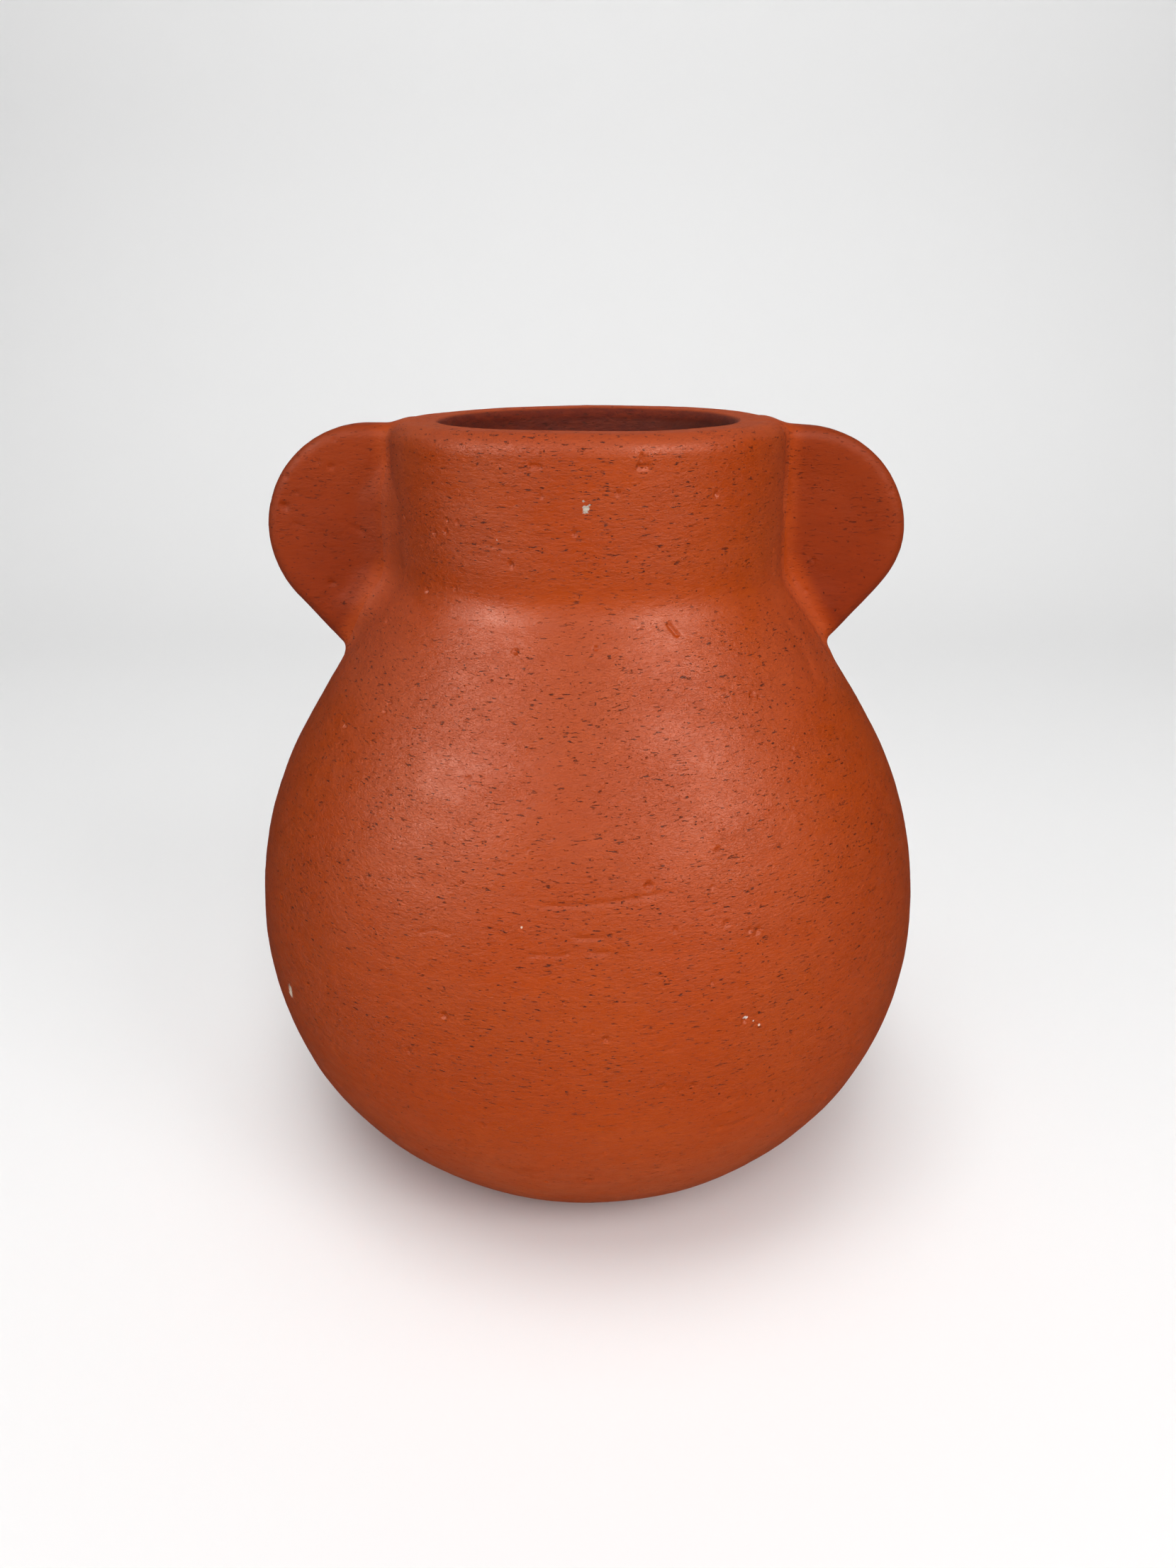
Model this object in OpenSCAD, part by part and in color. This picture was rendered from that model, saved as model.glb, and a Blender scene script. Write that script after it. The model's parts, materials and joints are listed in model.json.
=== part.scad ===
// Round-bellied amphora of hand-built terracotta: a jar with a sloping shoulder, a short
// wide neck, a thick rounded lip and two solid ear-shaped lugs.
// Millimetres, +Z up. The origin is the centre of the flat base, and the lugs point along X.
// The lumps of clay that are luted together meet face to face, on bevels square to the wall.

/* [Overall] */
// Height from the flat base to the top of the lip
overall_h = 280; // [274:1:290]
// Greatest diameter of the belly
belly_d = 250; // [246:1:256]
// Height of the widest ring of the belly above the base
belly_z = 100; // [97:1:103]

/* [Wall curves] */
// Radius of the wall's curve from the base up to the belly
lower_curve_r = 111; // [108:1:114]
// Radius of the wall's curve just above the belly
upper_curve_r = 141; // [138:1:145]
// Radius of the long, nearly straight curve of the shoulder
shoulder_curve_r = 600; // [500:20:700]
// Angle above the belly at which the shoulder's curve takes over
shoulder_angle = 31; // [29:1:33]
// Radius of the hollow curve between shoulder and neck, outside
neck_hollow_r = 18; // [15:1:21]
// Radius of the rounded curve between shoulder and neck, inside
neck_inside_r = 20; // [17:1:23]

/* [Walls] */
// Thickness of the belly and shoulder walls
wall_t = 12; // [10:0.5:14]
// Thickness of the slab that closes the bottom
base_t = 12; // [10:0.5:14]

/* [Neck and lip] */
// Outer diameter of the neck
neck_d = 137; // [134:1:140]
// Diameter of the mouth, through the lip and the neck
mouth_d = 100; // [96:1:104]
// Height of the lip's clay on top of the neck
lip_h = 9; // [8:0.5:11]
// Radius of the lip's outer edge
lip_outer_r = 7; // [5:0.5:8]
// Radius of the lip's inner edge
lip_inner_r = 4; // [3:0.5:6]

/* [Lugs] */
// Distance over both lugs
lug_span = 227; // [222:1:230]
// Radius of a lug's round outer end
lug_r = 37.5; // [36:0.5:39]
// Distance from a lug's highest point down to the lip's top
lug_drop = 1.5; // [1.5:0.5:4]
// Thickness of a lug, whose edge is fully rounded
lug_t = 16; // [14:1:18]
// Radius of the tip on the shoulder at which a lug ends
lug_tip_r = 12; // [11:0.5:13]
// Distance of that tip's centre from the jar's axis
lug_tip_x = 79; // [78:0.5:80]
// Height of that tip's centre above the base
lug_tip_z = 206; // [205:0.5:207]

/* [Hidden] */

// Smoothness of the turned walls
$fn = 180;
// Smoothness of the lugs, which are hulls
lug_facets = 32;
// How far a cutting shape reaches past what it cuts
over = 1;
// Burnt orange of the clay, and the deeper red of the lugs
clay = "#B04A20";
clay_red = "#96402A";

belly_r = belly_d / 2;
neck_r = neck_d / 2;
mouth_r = mouth_d / 2;
lip_middle = (neck_r + mouth_r) / 2;
lip_z = overall_h - lip_h;
lug_x = lug_span / 2 - lug_r;
lug_z = overall_h - lug_drop - lug_r;
lug_edge_r = lug_t / 2;

// Centres [x, z] of the wall's three curves
lower_centre = [belly_r - lower_curve_r, belly_z];
upper_centre = [belly_r - upper_curve_r, belly_z];
shoulder_centre = upper_centre
    + (upper_curve_r - shoulder_curve_r) * [cos(shoulder_angle), sin(shoulder_angle)];

// Centre of the curve of radius hollow_r that touches both the shoulder's curve, inset by
// inset, and a straight neck of radius neck_at
function hollow_centre(inset, neck_at, hollow_r) =
    let (reach = shoulder_curve_r - inset + hollow_r)
    let (across = neck_at + hollow_r - shoulder_centre.x)
    [neck_at + hollow_r, shoulder_centre.y + sqrt(reach * reach - across * across)];

outer_hollow = hollow_centre(0, neck_r, neck_hollow_r);
inner_hollow = hollow_centre(wall_t, mouth_r, neck_inside_r);

// Angle above the level at which the shoulder ends and the neck's clay starts
neck_angle = atan2(outer_hollow.y - shoulder_centre.y, outer_hollow.x - shoulder_centre.x);

module disc_at(centre, radius) {
    translate(centre) circle(r = radius);
}

// The flat band of the half section between two heights, from the axis out to reach
module band(z0, z1, reach = belly_d) {
    translate([0, z0]) square([reach, z1 - z0]);
}

// The wedge between two angles, seen from a curve's centre
module wedge(centre, angle0, angle1) {
    far = 3 * shoulder_curve_r;
    translate(centre) polygon([
        [0, 0],
        far * [cos(angle0), sin(angle0)],
        far * [cos(angle1), sin(angle1)],
    ]);
}

// A wall that follows one curve, cut square to itself at both angles
module curved_wall(centre, radius, angle0, angle1) {
    rotate_extrude() intersection() {
        difference() {
            disc_at(centre, radius);
            disc_at(centre, radius - wall_t);
        }
        wedge(centre, angle0, angle1);
        band(0, overall_h);
    }
}

// Half section of the neck with the hollow at its foot, filled to the axis
module neck_section(hollow, hollow_r, radius, top_z) {
    difference() {
        band(shoulder_centre.y, hollow.y, hollow.x);
        disc_at(hollow, hollow_r);
    }
    band(hollow.y - over, top_z, radius);
}

// What rounding a top corner takes off: centre is the rounding's centre, and the corner lies
// towards +X if side is 1 and towards -X if it is -1
module corner_waste(centre, radius, side) {
    size = radius + over;
    difference() {
        translate(centre + [side > 0 ? 0 : -size, 0]) square(size);
        disc_at(centre, radius);
    }
}

// Half section of the lip: flat on top, with a full outer edge and a tighter inner one
module lip_section() {
    difference() {
        translate([mouth_r, lip_z]) square([neck_r - mouth_r, lip_h]);
        corner_waste([neck_r - lip_outer_r, overall_h - lip_outer_r], lip_outer_r, 1);
        corner_waste([mouth_r + lip_inner_r, overall_h - lip_inner_r], lip_inner_r, -1);
    }
}

// A round flat pat of clay with a fully rounded edge, standing in the XZ plane
module pat(x, z, radius) {
    translate([x, 0, z]) rotate([90, 0, 0]) rotate_extrude($fn = 2 * lug_facets) {
        translate([0, -lug_edge_r]) square([radius - lug_edge_r, lug_t]);
        intersection() {
            translate([radius - lug_edge_r, 0]) circle(r = lug_edge_r, $fn = lug_facets);
            translate([0, -lug_edge_r]) square([radius, lug_t]);
        }
    }
}

// The lug on the +X side: a round ear whose edge runs down and in to the shoulder
module lug() {
    difference() {
        hull() {
            pat(lug_x, lug_z, lug_r);
            pat(lip_middle, lug_z, lug_r);
            pat(lug_tip_x, lug_tip_z, lug_tip_r);
        }
        cylinder(r = neck_r, h = lip_z);
        rotate_extrude() intersection() {
            disc_at(shoulder_centre, shoulder_curve_r);
            band(belly_z, overall_h);
        }
        rotate_extrude() difference() {
            band(shoulder_centre.y, outer_hollow.y, outer_hollow.x);
            disc_at(outer_hollow, neck_hollow_r);
        }
        cylinder(r = lip_middle, h = overall_h + over);
        rotate_extrude() lip_section();
    }
}

module base_slab() {
    color(clay) rotate_extrude() intersection() {
        disc_at(lower_centre, lower_curve_r);
        band(0, base_t);
    }
}

module lower_body() {
    color(clay) rotate_extrude() intersection() {
        difference() {
            disc_at(lower_centre, lower_curve_r);
            disc_at(lower_centre, lower_curve_r - wall_t);
        }
        band(base_t, belly_z);
    }
}

module upper_body() {
    color(clay) curved_wall(upper_centre, upper_curve_r, 0, shoulder_angle);
}

module shoulder() {
    color(clay) curved_wall(shoulder_centre, shoulder_curve_r, shoulder_angle, neck_angle);
}

module neck() {
    color(clay) rotate_extrude() difference() {
        intersection() {
            neck_section(outer_hollow, neck_hollow_r, neck_r, lip_z);
            wedge(shoulder_centre, neck_angle, 90);
        }
        disc_at(shoulder_centre, shoulder_curve_r - wall_t);
        neck_section(inner_hollow, neck_inside_r, mouth_r, overall_h);
    }
}

module lip() {
    color(clay) rotate_extrude() lip_section();
}

module left_lug() {
    color(clay_red) mirror([1, 0, 0]) lug();
}

module right_lug() {
    color(clay_red) lug();
}

base_slab();
lower_body();
upper_body();
shoulder();
neck();
lip();
left_lug();
right_lug();
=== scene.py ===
import json
import math

import bpy
import numpy as np
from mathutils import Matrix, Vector


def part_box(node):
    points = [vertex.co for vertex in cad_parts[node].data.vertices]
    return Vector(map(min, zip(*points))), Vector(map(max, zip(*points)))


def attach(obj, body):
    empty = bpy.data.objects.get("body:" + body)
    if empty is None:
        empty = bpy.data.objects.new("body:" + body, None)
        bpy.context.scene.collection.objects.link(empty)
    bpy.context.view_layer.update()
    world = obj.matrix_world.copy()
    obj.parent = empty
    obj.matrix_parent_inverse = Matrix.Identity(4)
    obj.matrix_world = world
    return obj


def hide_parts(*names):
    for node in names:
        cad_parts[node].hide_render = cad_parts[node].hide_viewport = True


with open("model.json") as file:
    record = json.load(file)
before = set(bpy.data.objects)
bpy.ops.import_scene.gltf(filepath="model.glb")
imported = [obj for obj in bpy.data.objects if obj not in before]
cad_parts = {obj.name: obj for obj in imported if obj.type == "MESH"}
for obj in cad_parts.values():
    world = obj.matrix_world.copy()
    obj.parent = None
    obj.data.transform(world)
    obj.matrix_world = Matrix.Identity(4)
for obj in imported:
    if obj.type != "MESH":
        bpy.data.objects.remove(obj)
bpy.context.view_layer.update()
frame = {"record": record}

# Hand-built terracotta jar. Shapes are worked out in millimetres and made in metres.
# Angles on the jar are in degrees from the front (-Y), positive towards +X.
MM = 0.001

# ---------------------------------------------------------------- camera

# The lens is assumed: a phone's main camera, 26 mm equivalent. SENSOR goes with the picture's height.
SENSOR = 36.0
LENS = 27.05
CAMERA_BACK, CAMERA_HEIGHT, CAMERA_DOWN = 426.8, 307.9, 21.05


def make_camera():
    data = bpy.data.cameras.new("camera")
    data.sensor_width = SENSOR
    data.lens = LENS
    data.clip_start = 0.01
    data.clip_end = 20
    camera = bpy.data.objects.new("camera", data)
    camera.location = (0, -CAMERA_BACK * MM, CAMERA_HEIGHT * MM)
    camera.rotation_euler = (math.radians(90 - CAMERA_DOWN), 0, 0)
    bpy.context.scene.collection.objects.link(camera)
    bpy.context.scene.camera = camera


make_camera()

# ---------------------------------------------------------------- the wall's outline, from the frame


def box_mm(node):
    low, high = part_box(node)
    return np.array(low) / MM, np.array(high) / MM


BELLY_R = box_mm("lower_body")[1][0]
BELLY_Z = box_mm("lower_body")[1][2]
BASE_T = box_mm("base_slab")[1][2]
BASE_TOP_R = box_mm("base_slab")[1][0]
SHOULDER_FOOT = np.array([box_mm("shoulder")[1][0], box_mm("upper_body")[1][2]])
NECK_FOOT = np.array([box_mm("neck")[1][0], box_mm("shoulder")[1][2]])
NECK_R = box_mm("lip")[1][0]
LIP_Z, TOP_Z = box_mm("lip")[0][2], box_mm("lip")[1][2]
MOUTH_R = next(m["dims"]["r_mm"] for m in frame["record"]["mounts"] if m["name"] == "mouth")
LIP_MIDDLE = (NECK_R + MOUTH_R) / 2
LIP_OUTER_R, LIP_INNER_R = 7.0, 4.0


class Arc:
    """A round stretch of the half section, from angle a0 to a1 in radians about its centre."""

    def __init__(self, centre, radius, a0, a1):
        self.centre, self.radius, self.a0, self.a1 = np.array(centre, float), radius, a0, a1
        self.length = abs(a1 - a0) * radius
        self.side = 1.0

    def hollow(self):
        """Marks a curve that the clay lies outside of, so that its normal points at its centre."""
        self.side = -1.0
        return self

    def at(self, t):
        angle = self.a0 + (self.a1 - self.a0) * t
        ray = np.stack([np.cos(angle), np.sin(angle)], -1)
        return self.centre + self.radius * ray, self.side * ray


class Line:
    """A straight stretch of the half section, with its normal."""

    def __init__(self, start, end, normal):
        self.start, self.end, self.normal = np.array(start, float), np.array(end, float), normal
        self.length = float(np.linalg.norm(self.end - self.start))

    def at(self, t):
        t = np.asarray(t)[:, None]
        return self.start + (self.end - self.start) * t, np.broadcast_to(self.normal, (len(t), 2))


def arc_through(across, up):
    """Radius of the arc that leaves the belly upright and has moved across by the height up."""
    return (across * across + up * up) / (2 * across)


LOWER_R = arc_through(BELLY_R - BASE_TOP_R, BELLY_Z - BASE_T)
UPPER_R = arc_through(BELLY_R - SHOULDER_FOOT[0], SHOULDER_FOOT[1] - BELLY_Z)
LOWER_C = np.array([BELLY_R - LOWER_R, BELLY_Z])
UPPER_C = np.array([BELLY_R - UPPER_R, BELLY_Z])
BEND = math.atan2(*(SHOULDER_FOOT - UPPER_C)[::-1])
BEND_N = np.array([math.cos(BEND), math.sin(BEND)])
RISE = NECK_FOOT - SHOULDER_FOOT
SHOULDER_R = -RISE.dot(RISE) / (2 * RISE.dot(BEND_N))
SHOULDER_C = SHOULDER_FOOT - SHOULDER_R * BEND_N
NECK_BEND = math.atan2(*(NECK_FOOT - SHOULDER_C)[::-1])
HOLLOW_R = (NECK_FOOT[0] - NECK_R) / (1 - math.cos(NECK_BEND))
HOLLOW_C = NECK_FOOT + HOLLOW_R * np.array([math.cos(NECK_BEND), math.sin(NECK_BEND)])
WALL_T = UPPER_R - (box_mm("shoulder")[0][2] - BELLY_Z) / math.sin(BEND)
BASE_ANGLE = -math.asin((BELLY_Z - BASE_T) / LOWER_R)

# Inside, the neck's clay is thicker than the wall, and a rounder curve joins the two
INSIDE_R = 20.0
inside_reach = SHOULDER_R - WALL_T + INSIDE_R
inside_across = MOUTH_R + INSIDE_R - SHOULDER_C[0]
INSIDE_C = np.array([MOUTH_R + INSIDE_R, SHOULDER_C[1] + math.sqrt(inside_reach**2 - inside_across**2)])
INSIDE_BEND = math.atan2(*(INSIDE_C - SHOULDER_C)[::-1])
FLOOR_ANGLE = -math.asin((BELLY_Z - BASE_T) / (LOWER_R - WALL_T))

# Radius that the bottom edge is rubbed round to
BASE_EDGE_R = 3.5
edge_start = -math.asin((BELLY_Z - BASE_EDGE_R) / (LOWER_R - BASE_EDGE_R))
BASE_EDGE_C = LOWER_C + (LOWER_R - BASE_EDGE_R) * np.array([math.cos(edge_start), math.sin(edge_start)])


def outline(kind):
    """The stretches of one piece's half section: what shows outside, and what shows inside."""
    inner = UPPER_R - WALL_T
    if kind == "lower_body":
        outside = [Arc(LOWER_C, LOWER_R, BASE_ANGLE, 0)]
        inside = [Arc(LOWER_C, LOWER_R - WALL_T, 0, FLOOR_ANGLE).hollow()]
    elif kind == "upper_body":
        outside = [Arc(UPPER_C, UPPER_R, 0, BEND)]
        inside = [Arc(UPPER_C, inner, BEND, 0).hollow()]
    elif kind == "shoulder":
        outside = [Arc(SHOULDER_C, SHOULDER_R, BEND, NECK_BEND)]
        inside = [Arc(SHOULDER_C, SHOULDER_R - WALL_T, NECK_BEND, BEND).hollow()]
    elif kind == "neck":
        outside = [
            Arc(HOLLOW_C, HOLLOW_R, NECK_BEND + math.pi, math.pi).hollow(),
            Line((NECK_R, HOLLOW_C[1]), (NECK_R, LIP_Z), (1, 0)),
        ]
        inside = [
            Line((MOUTH_R, LIP_Z), (MOUTH_R, INSIDE_C[1]), (-1, 0)),
            Arc(INSIDE_C, INSIDE_R, math.pi, INSIDE_BEND + math.pi),
            Arc(SHOULDER_C, SHOULDER_R - WALL_T, INSIDE_BEND, NECK_BEND).hollow(),
        ]
    elif kind == "lip":
        outer_z, inner_z = TOP_Z - LIP_OUTER_R, TOP_Z - LIP_INNER_R
        outer_r, inner_r = NECK_R - LIP_OUTER_R, MOUTH_R + LIP_INNER_R
        outside = [
            Line((NECK_R, LIP_Z), (NECK_R, outer_z), (1, 0)),
            Arc((outer_r, outer_z), LIP_OUTER_R, 0, math.pi / 2),
            Line((outer_r, TOP_Z), (inner_r, TOP_Z), (0, 1)),
            Arc((inner_r, inner_z), LIP_INNER_R, math.pi / 2, math.pi),
            Line((MOUTH_R, inner_z), (MOUTH_R, LIP_Z), (-1, 0)),
        ]
        inside = []
    elif kind == "base_slab":
        outside = [
            Line((0, 0), (BASE_EDGE_C[0], 0), (0, -1)),
            Arc(BASE_EDGE_C, BASE_EDGE_R, -math.pi / 2, edge_start),
            Arc(LOWER_C, LOWER_R, edge_start, BASE_ANGLE),
        ]
        floor_r = LOWER_C[0] + (LOWER_R - WALL_T) * math.cos(FLOOR_ANGLE)
        inside = [Line((floor_r, BASE_T), (0, BASE_T), (0, 1))]
    return outside, inside


def rows_along(stretches, spacing, spare=0):
    """Points and normals of the half section at about spacing, with spare rows past either end."""
    total = sum(s.length for s in stretches)
    count = max(2, round(total / spacing))
    where = np.arange(-spare, count + 1 + spare) * total / count
    points, normals = np.zeros((len(where), 2)), np.zeros((len(where), 2))
    start = 0.0
    for n, stretch in enumerate(stretches):
        end = start + stretch.length
        low = -np.inf if n == 0 else start
        high = np.inf if n == len(stretches) - 1 else end
        chosen = (where >= low) & (where <= high if high == np.inf else where < high)
        points[chosen], normals[chosen] = stretch.at((where[chosen] - start) / stretch.length)
        start = end
    return points, normals


# ---------------------------------------------------------------- noise

# The twelve ways from a cube's middle to the middles of its edges
GRADIENTS = np.array(
    [
        [x, y, z]
        for x in (-1, 0, 1)
        for y in (-1, 0, 1)
        for z in (-1, 0, 1)
        if abs(x) + abs(y) + abs(z) == 2
    ],
    float,
)


def lattice_hash(cell, seed):
    """A whole number for each cell of the noise's lattice, scattered by its place and the seed."""
    x, y, z = (cell[..., n].astype(np.int64) for n in range(3))
    h = (x * 73856093) ^ (y * 19349663) ^ (z * 83492791) ^ (seed * 2654435761)
    h = (h ^ (h >> 13)) * 1274126177 & 0x7FFFFFFF
    return h ^ (h >> 16)


def noise(p, scale, seed=0):
    """Smooth gradient noise between about -1 and 1. scale is a length in mm, or one for each axis."""
    q = p / np.asarray(scale, float) + 17.3 * seed
    cell = np.floor(q)
    f = q - cell
    fade = f * f * f * (f * (f * 6 - 15) + 10)
    total = np.zeros(p.shape[:-1])
    for corner in np.ndindex(2, 2, 2):
        corner = np.array(corner)
        slope = GRADIENTS[lattice_hash(cell + corner, seed) % 12]
        weight = np.prod(np.where(corner == 1, fade, 1 - fade), axis=-1)
        total += weight * np.einsum("...k,...k->...", slope, f - corner)
    return total


def smooth(low, high, x):
    """Eases from 0 to 1 while x goes from low to high."""
    t = np.clip((x - low) / (high - low), 0, 1)
    return t * t * (3 - 2 * t)


# ---------------------------------------------------------------- fields: distance to the body and to a lug


def body_outline_points():
    """The whole outer half section as close points, from the foot of the shoulder over the lip."""
    parts = []
    for kind in ("upper_body", "shoulder", "neck", "lip"):
        parts.append(rows_along(outline(kind)[0], 0.5)[0])
    return np.concatenate(parts)


FIELD_LOW, FIELD_HIGH, FIELD_STEP = np.array([40.0, 150.0]), np.array([130.0, 296.0]), 0.5


def make_body_field():
    """Signed distance to the jar's outer face on a grid over radius and height, inside negative."""
    size = ((FIELD_HIGH - FIELD_LOW) / FIELD_STEP).astype(int) + 1
    r = FIELD_LOW[0] + FIELD_STEP * np.arange(size[0])
    z = FIELD_LOW[1] + FIELD_STEP * np.arange(size[1])
    grid = np.stack(np.meshgrid(r, z, indexing="ij"), -1)
    near = np.full(grid.shape[:2], np.inf)
    edge = body_outline_points()
    for point in edge:
        near = np.minimum(near, ((grid - point) ** 2).sum(-1))
    outer = edge[(edge[:, 0] >= LIP_MIDDLE) & (edge[:, 1] <= LIP_Z)]
    below_lip = (r[:, None] < np.interp(z, outer[:, 1], outer[:, 0])[None]) & (z[None] < LIP_Z)
    to_corner = np.maximum(r[:, None] - (NECK_R - LIP_OUTER_R), 0)
    above = np.maximum(z[None] - (TOP_Z - LIP_OUTER_R), 0)
    in_lip = (np.hypot(to_corner, above) < LIP_OUTER_R) & (r[:, None] > MOUTH_R) & (z[None] >= LIP_Z)
    inside = below_lip | in_lip
    return np.where(inside, -1, 1) * np.sqrt(near)


BODY_FIELD = make_body_field()


def body_distance(p):
    """Signed distance to the jar's outer face, read from the grid."""
    r = np.hypot(p[..., 0], p[..., 1])
    q = (np.stack([r, p[..., 2]], -1) - FIELD_LOW) / FIELD_STEP
    q = np.clip(q, 0, np.array(BODY_FIELD.shape) - 1.001)
    i = q.astype(int)
    f = q - i
    a, b = BODY_FIELD[i[..., 0], i[..., 1]], BODY_FIELD[i[..., 0] + 1, i[..., 1]]
    c, d = BODY_FIELD[i[..., 0], i[..., 1] + 1], BODY_FIELD[i[..., 0] + 1, i[..., 1] + 1]
    low, high = a + (b - a) * f[..., 0], c + (d - c) * f[..., 0]
    return low + (high - low) * f[..., 1]


LUG_LOW, LUG_HIGH = box_mm("right_lug")
# Radius of the lug's round end, which the frame's boxes don't give
LUG_R = 37.5
LUG_T = LUG_HIGH[1] - LUG_LOW[1]
LUG_X = LUG_HIGH[0] - LUG_R
LUG_Z = LUG_HIGH[2] - LUG_R
# Radius that the rim of each lug is rubbed round to
LUG_EDGE_R = 4.5
# The two ears were cut by eye: centre and radius of the ear, and of the tip below it
EARS = {
    -1: ((LUG_X + 1.2, LUG_Z + 1.2), LUG_R - 1.0, (79.0, 206.5), 11.5),
    1: ((LUG_X - 0.6, LUG_Z - 0.5), LUG_R - 0.6, (77.2, 207.0), 10.5),
}
# Where the right ear's lower corner was pared flatter, how widely and how deep
PARED, PARED_WIDTH, PARED_DEPTH = np.array([103.0, 217.0]), 15.0, 2.6
# Reach of the soft fillet on the ear's faces, and how much tighter it is on its edge
FACE_BLEND = {-1: 18.0, 1: 6.0}
EDGE_BLEND, TOP_BLEND = 2.5, 4.0
# How far each ear's faces are pressed in
HOLLOW = {-1: 0.6, 1: 1.5}


def round_cone_2d(p, a, b, ra, rb):
    """Distance to the shape that a string drawn round two discs encloses."""
    ab = b - a
    length = np.linalg.norm(ab)
    up = ab / length
    q = p - a
    y = q @ up
    x = np.abs(q @ np.array([-up[1], up[0]]))
    k = (ra - rb) / length
    h = math.sqrt(1 - k * k)
    along = -k * x + h * y
    side = x * h + y * k - ra
    return np.where(
        along < 0,
        np.hypot(x, y) - ra,
        np.where(along > h * length, np.hypot(x, y - length) - rb, side),
    )


def soft_min(a, b, reach):
    """The lesser of two distances, with a fillet where they differ by less than reach."""
    h = np.clip(reach - np.abs(a - b), 0, None) / reach
    return np.minimum(a, b) - h * h * reach / 4


def lug_distance(p, side):
    """Distance to the ear-shaped slab on the side +1 (right) or -1 (left)."""
    q = np.stack([side * p[..., 0], p[..., 2]], -1)
    ear, ear_r, tip, tip_r = EARS[side]
    ear, tip, root = np.array(ear), np.array(tip), np.array([LIP_MIDDLE, LUG_Z])
    edge = round_cone_2d(q, root, ear, LUG_R, ear_r)
    edge = np.minimum(edge, round_cone_2d(q, ear, tip, ear_r, tip_r))
    edge = np.minimum(edge, round_cone_2d(q, root, tip, LUG_R, tip_r))
    if side > 0:
        edge = edge + PARED_DEPTH * np.exp(-((q - PARED) ** 2).sum(-1) / PARED_WIDTH**2)
    inward = np.clip(-edge, 0, 30)
    edge = np.maximum(edge, LIP_MIDDLE - q[..., 0])
    # The slab thins towards its rim, and is pressed a little hollow inside a thicker border
    half = LUG_T / 2 - 1.0 * smooth(LIP_MIDDLE + 8, LUG_HIGH[0], q[..., 0])
    hollow = smooth(4, 18, inward) * smooth(NECK_R - 4, NECK_R + 6, q[..., 0])
    hollow = hollow * smooth(215, 232, q[..., 1] + 0.5 * (q[..., 0] - LUG_X))
    half = half - HOLLOW[side] * hollow
    across = np.abs(p[..., 1] - 1.2 * noise(p, 60, 7)) - half + LUG_EDGE_R
    out = edge + LUG_EDGE_R
    within = np.minimum(np.maximum(across, out), 0)
    return within + np.hypot(np.clip(across, 0, None), np.clip(out, 0, None)) - LUG_EDGE_R


def blend_reach(p, side):
    """The fillet is wide where fingers smoothed the faces in, and tight along the edge."""
    across = np.abs(p[..., 1])
    edge = EDGE_BLEND + (TOP_BLEND - EDGE_BLEND) * smooth(250, 270, p[..., 2])
    ends = 1 - smooth(200, 218, p[..., 2]) * (1 - smooth(252, 268, p[..., 2]))
    face = FACE_BLEND[side] + (TOP_BLEND + 2 - FACE_BLEND[side]) * ends
    return edge + (face - edge) * smooth(2.5, 9, across)


def whole_distance(p, side):
    """Distance to the body and one lug, joined by the soft fillet."""
    return soft_min(body_distance(p), lug_distance(p, side), blend_reach(p, side))


def slope_of(field, p, step=0.4):
    """Unit gradient of a distance field."""
    grad = np.stack([field(p + step * axis) - field(p - step * axis) for axis in np.eye(3)], -1)
    return grad / np.clip(np.linalg.norm(grad, axis=-1, keepdims=True), 1e-9, None)


# ---------------------------------------------------------------- the maker's unevenness


def warp(p):
    """Slow unevenness of a jar built by eye: it moves every piece alike."""
    around = np.arctan2(p[..., 0], -p[..., 1])
    high = smooth(215, TOP_Z, p[..., 2])
    out = p.copy()
    sway = noise(p, 90, 1)
    radial = 1 + (0.5 * sway + 0.25 * noise(p, 45, 2)) / np.clip(np.hypot(p[..., 0], p[..., 1]), 30, None)
    out[..., 0] *= radial
    out[..., 1] *= radial
    lift = 0.5 * np.cos(around - 2.6) + 0.25 * np.cos(2 * around + 0.7) + 0.3 * noise(p, 30, 3) - 0.3
    out[..., 2] += high * lift
    foot = smooth(0, 6, p[..., 2])
    out[..., 2] = np.where(p[..., 2] < 6, p[..., 2] * (1 - foot) + out[..., 2] * foot, out[..., 2])
    return out


def relief_outside(p):
    """How far the smoothed outer face stands proud of the plain curve, in mm."""
    lumps = 0.20 * noise(p, 34, 11) + 0.13 * noise(p, (22, 22, 11), 12)
    ribs = 0.07 * noise(p, (26, 26, 4.5), 13)
    rough = smooth(-0.25, 0.35, noise(p, (30, 30, 16), 14))
    leather = (0.03 + 0.05 * rough) * noise(p, (3.4, 3.4, 1.7), 15)
    return lumps + ribs + leather


def relief_inside(p):
    """Finger marks that run round the inside."""
    return 0.5 * noise(p, (60, 60, 7), 21) + 0.25 * noise(p, (18, 18, 5), 22)


# ---------------------------------------------------------------- marks in the clay

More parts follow.
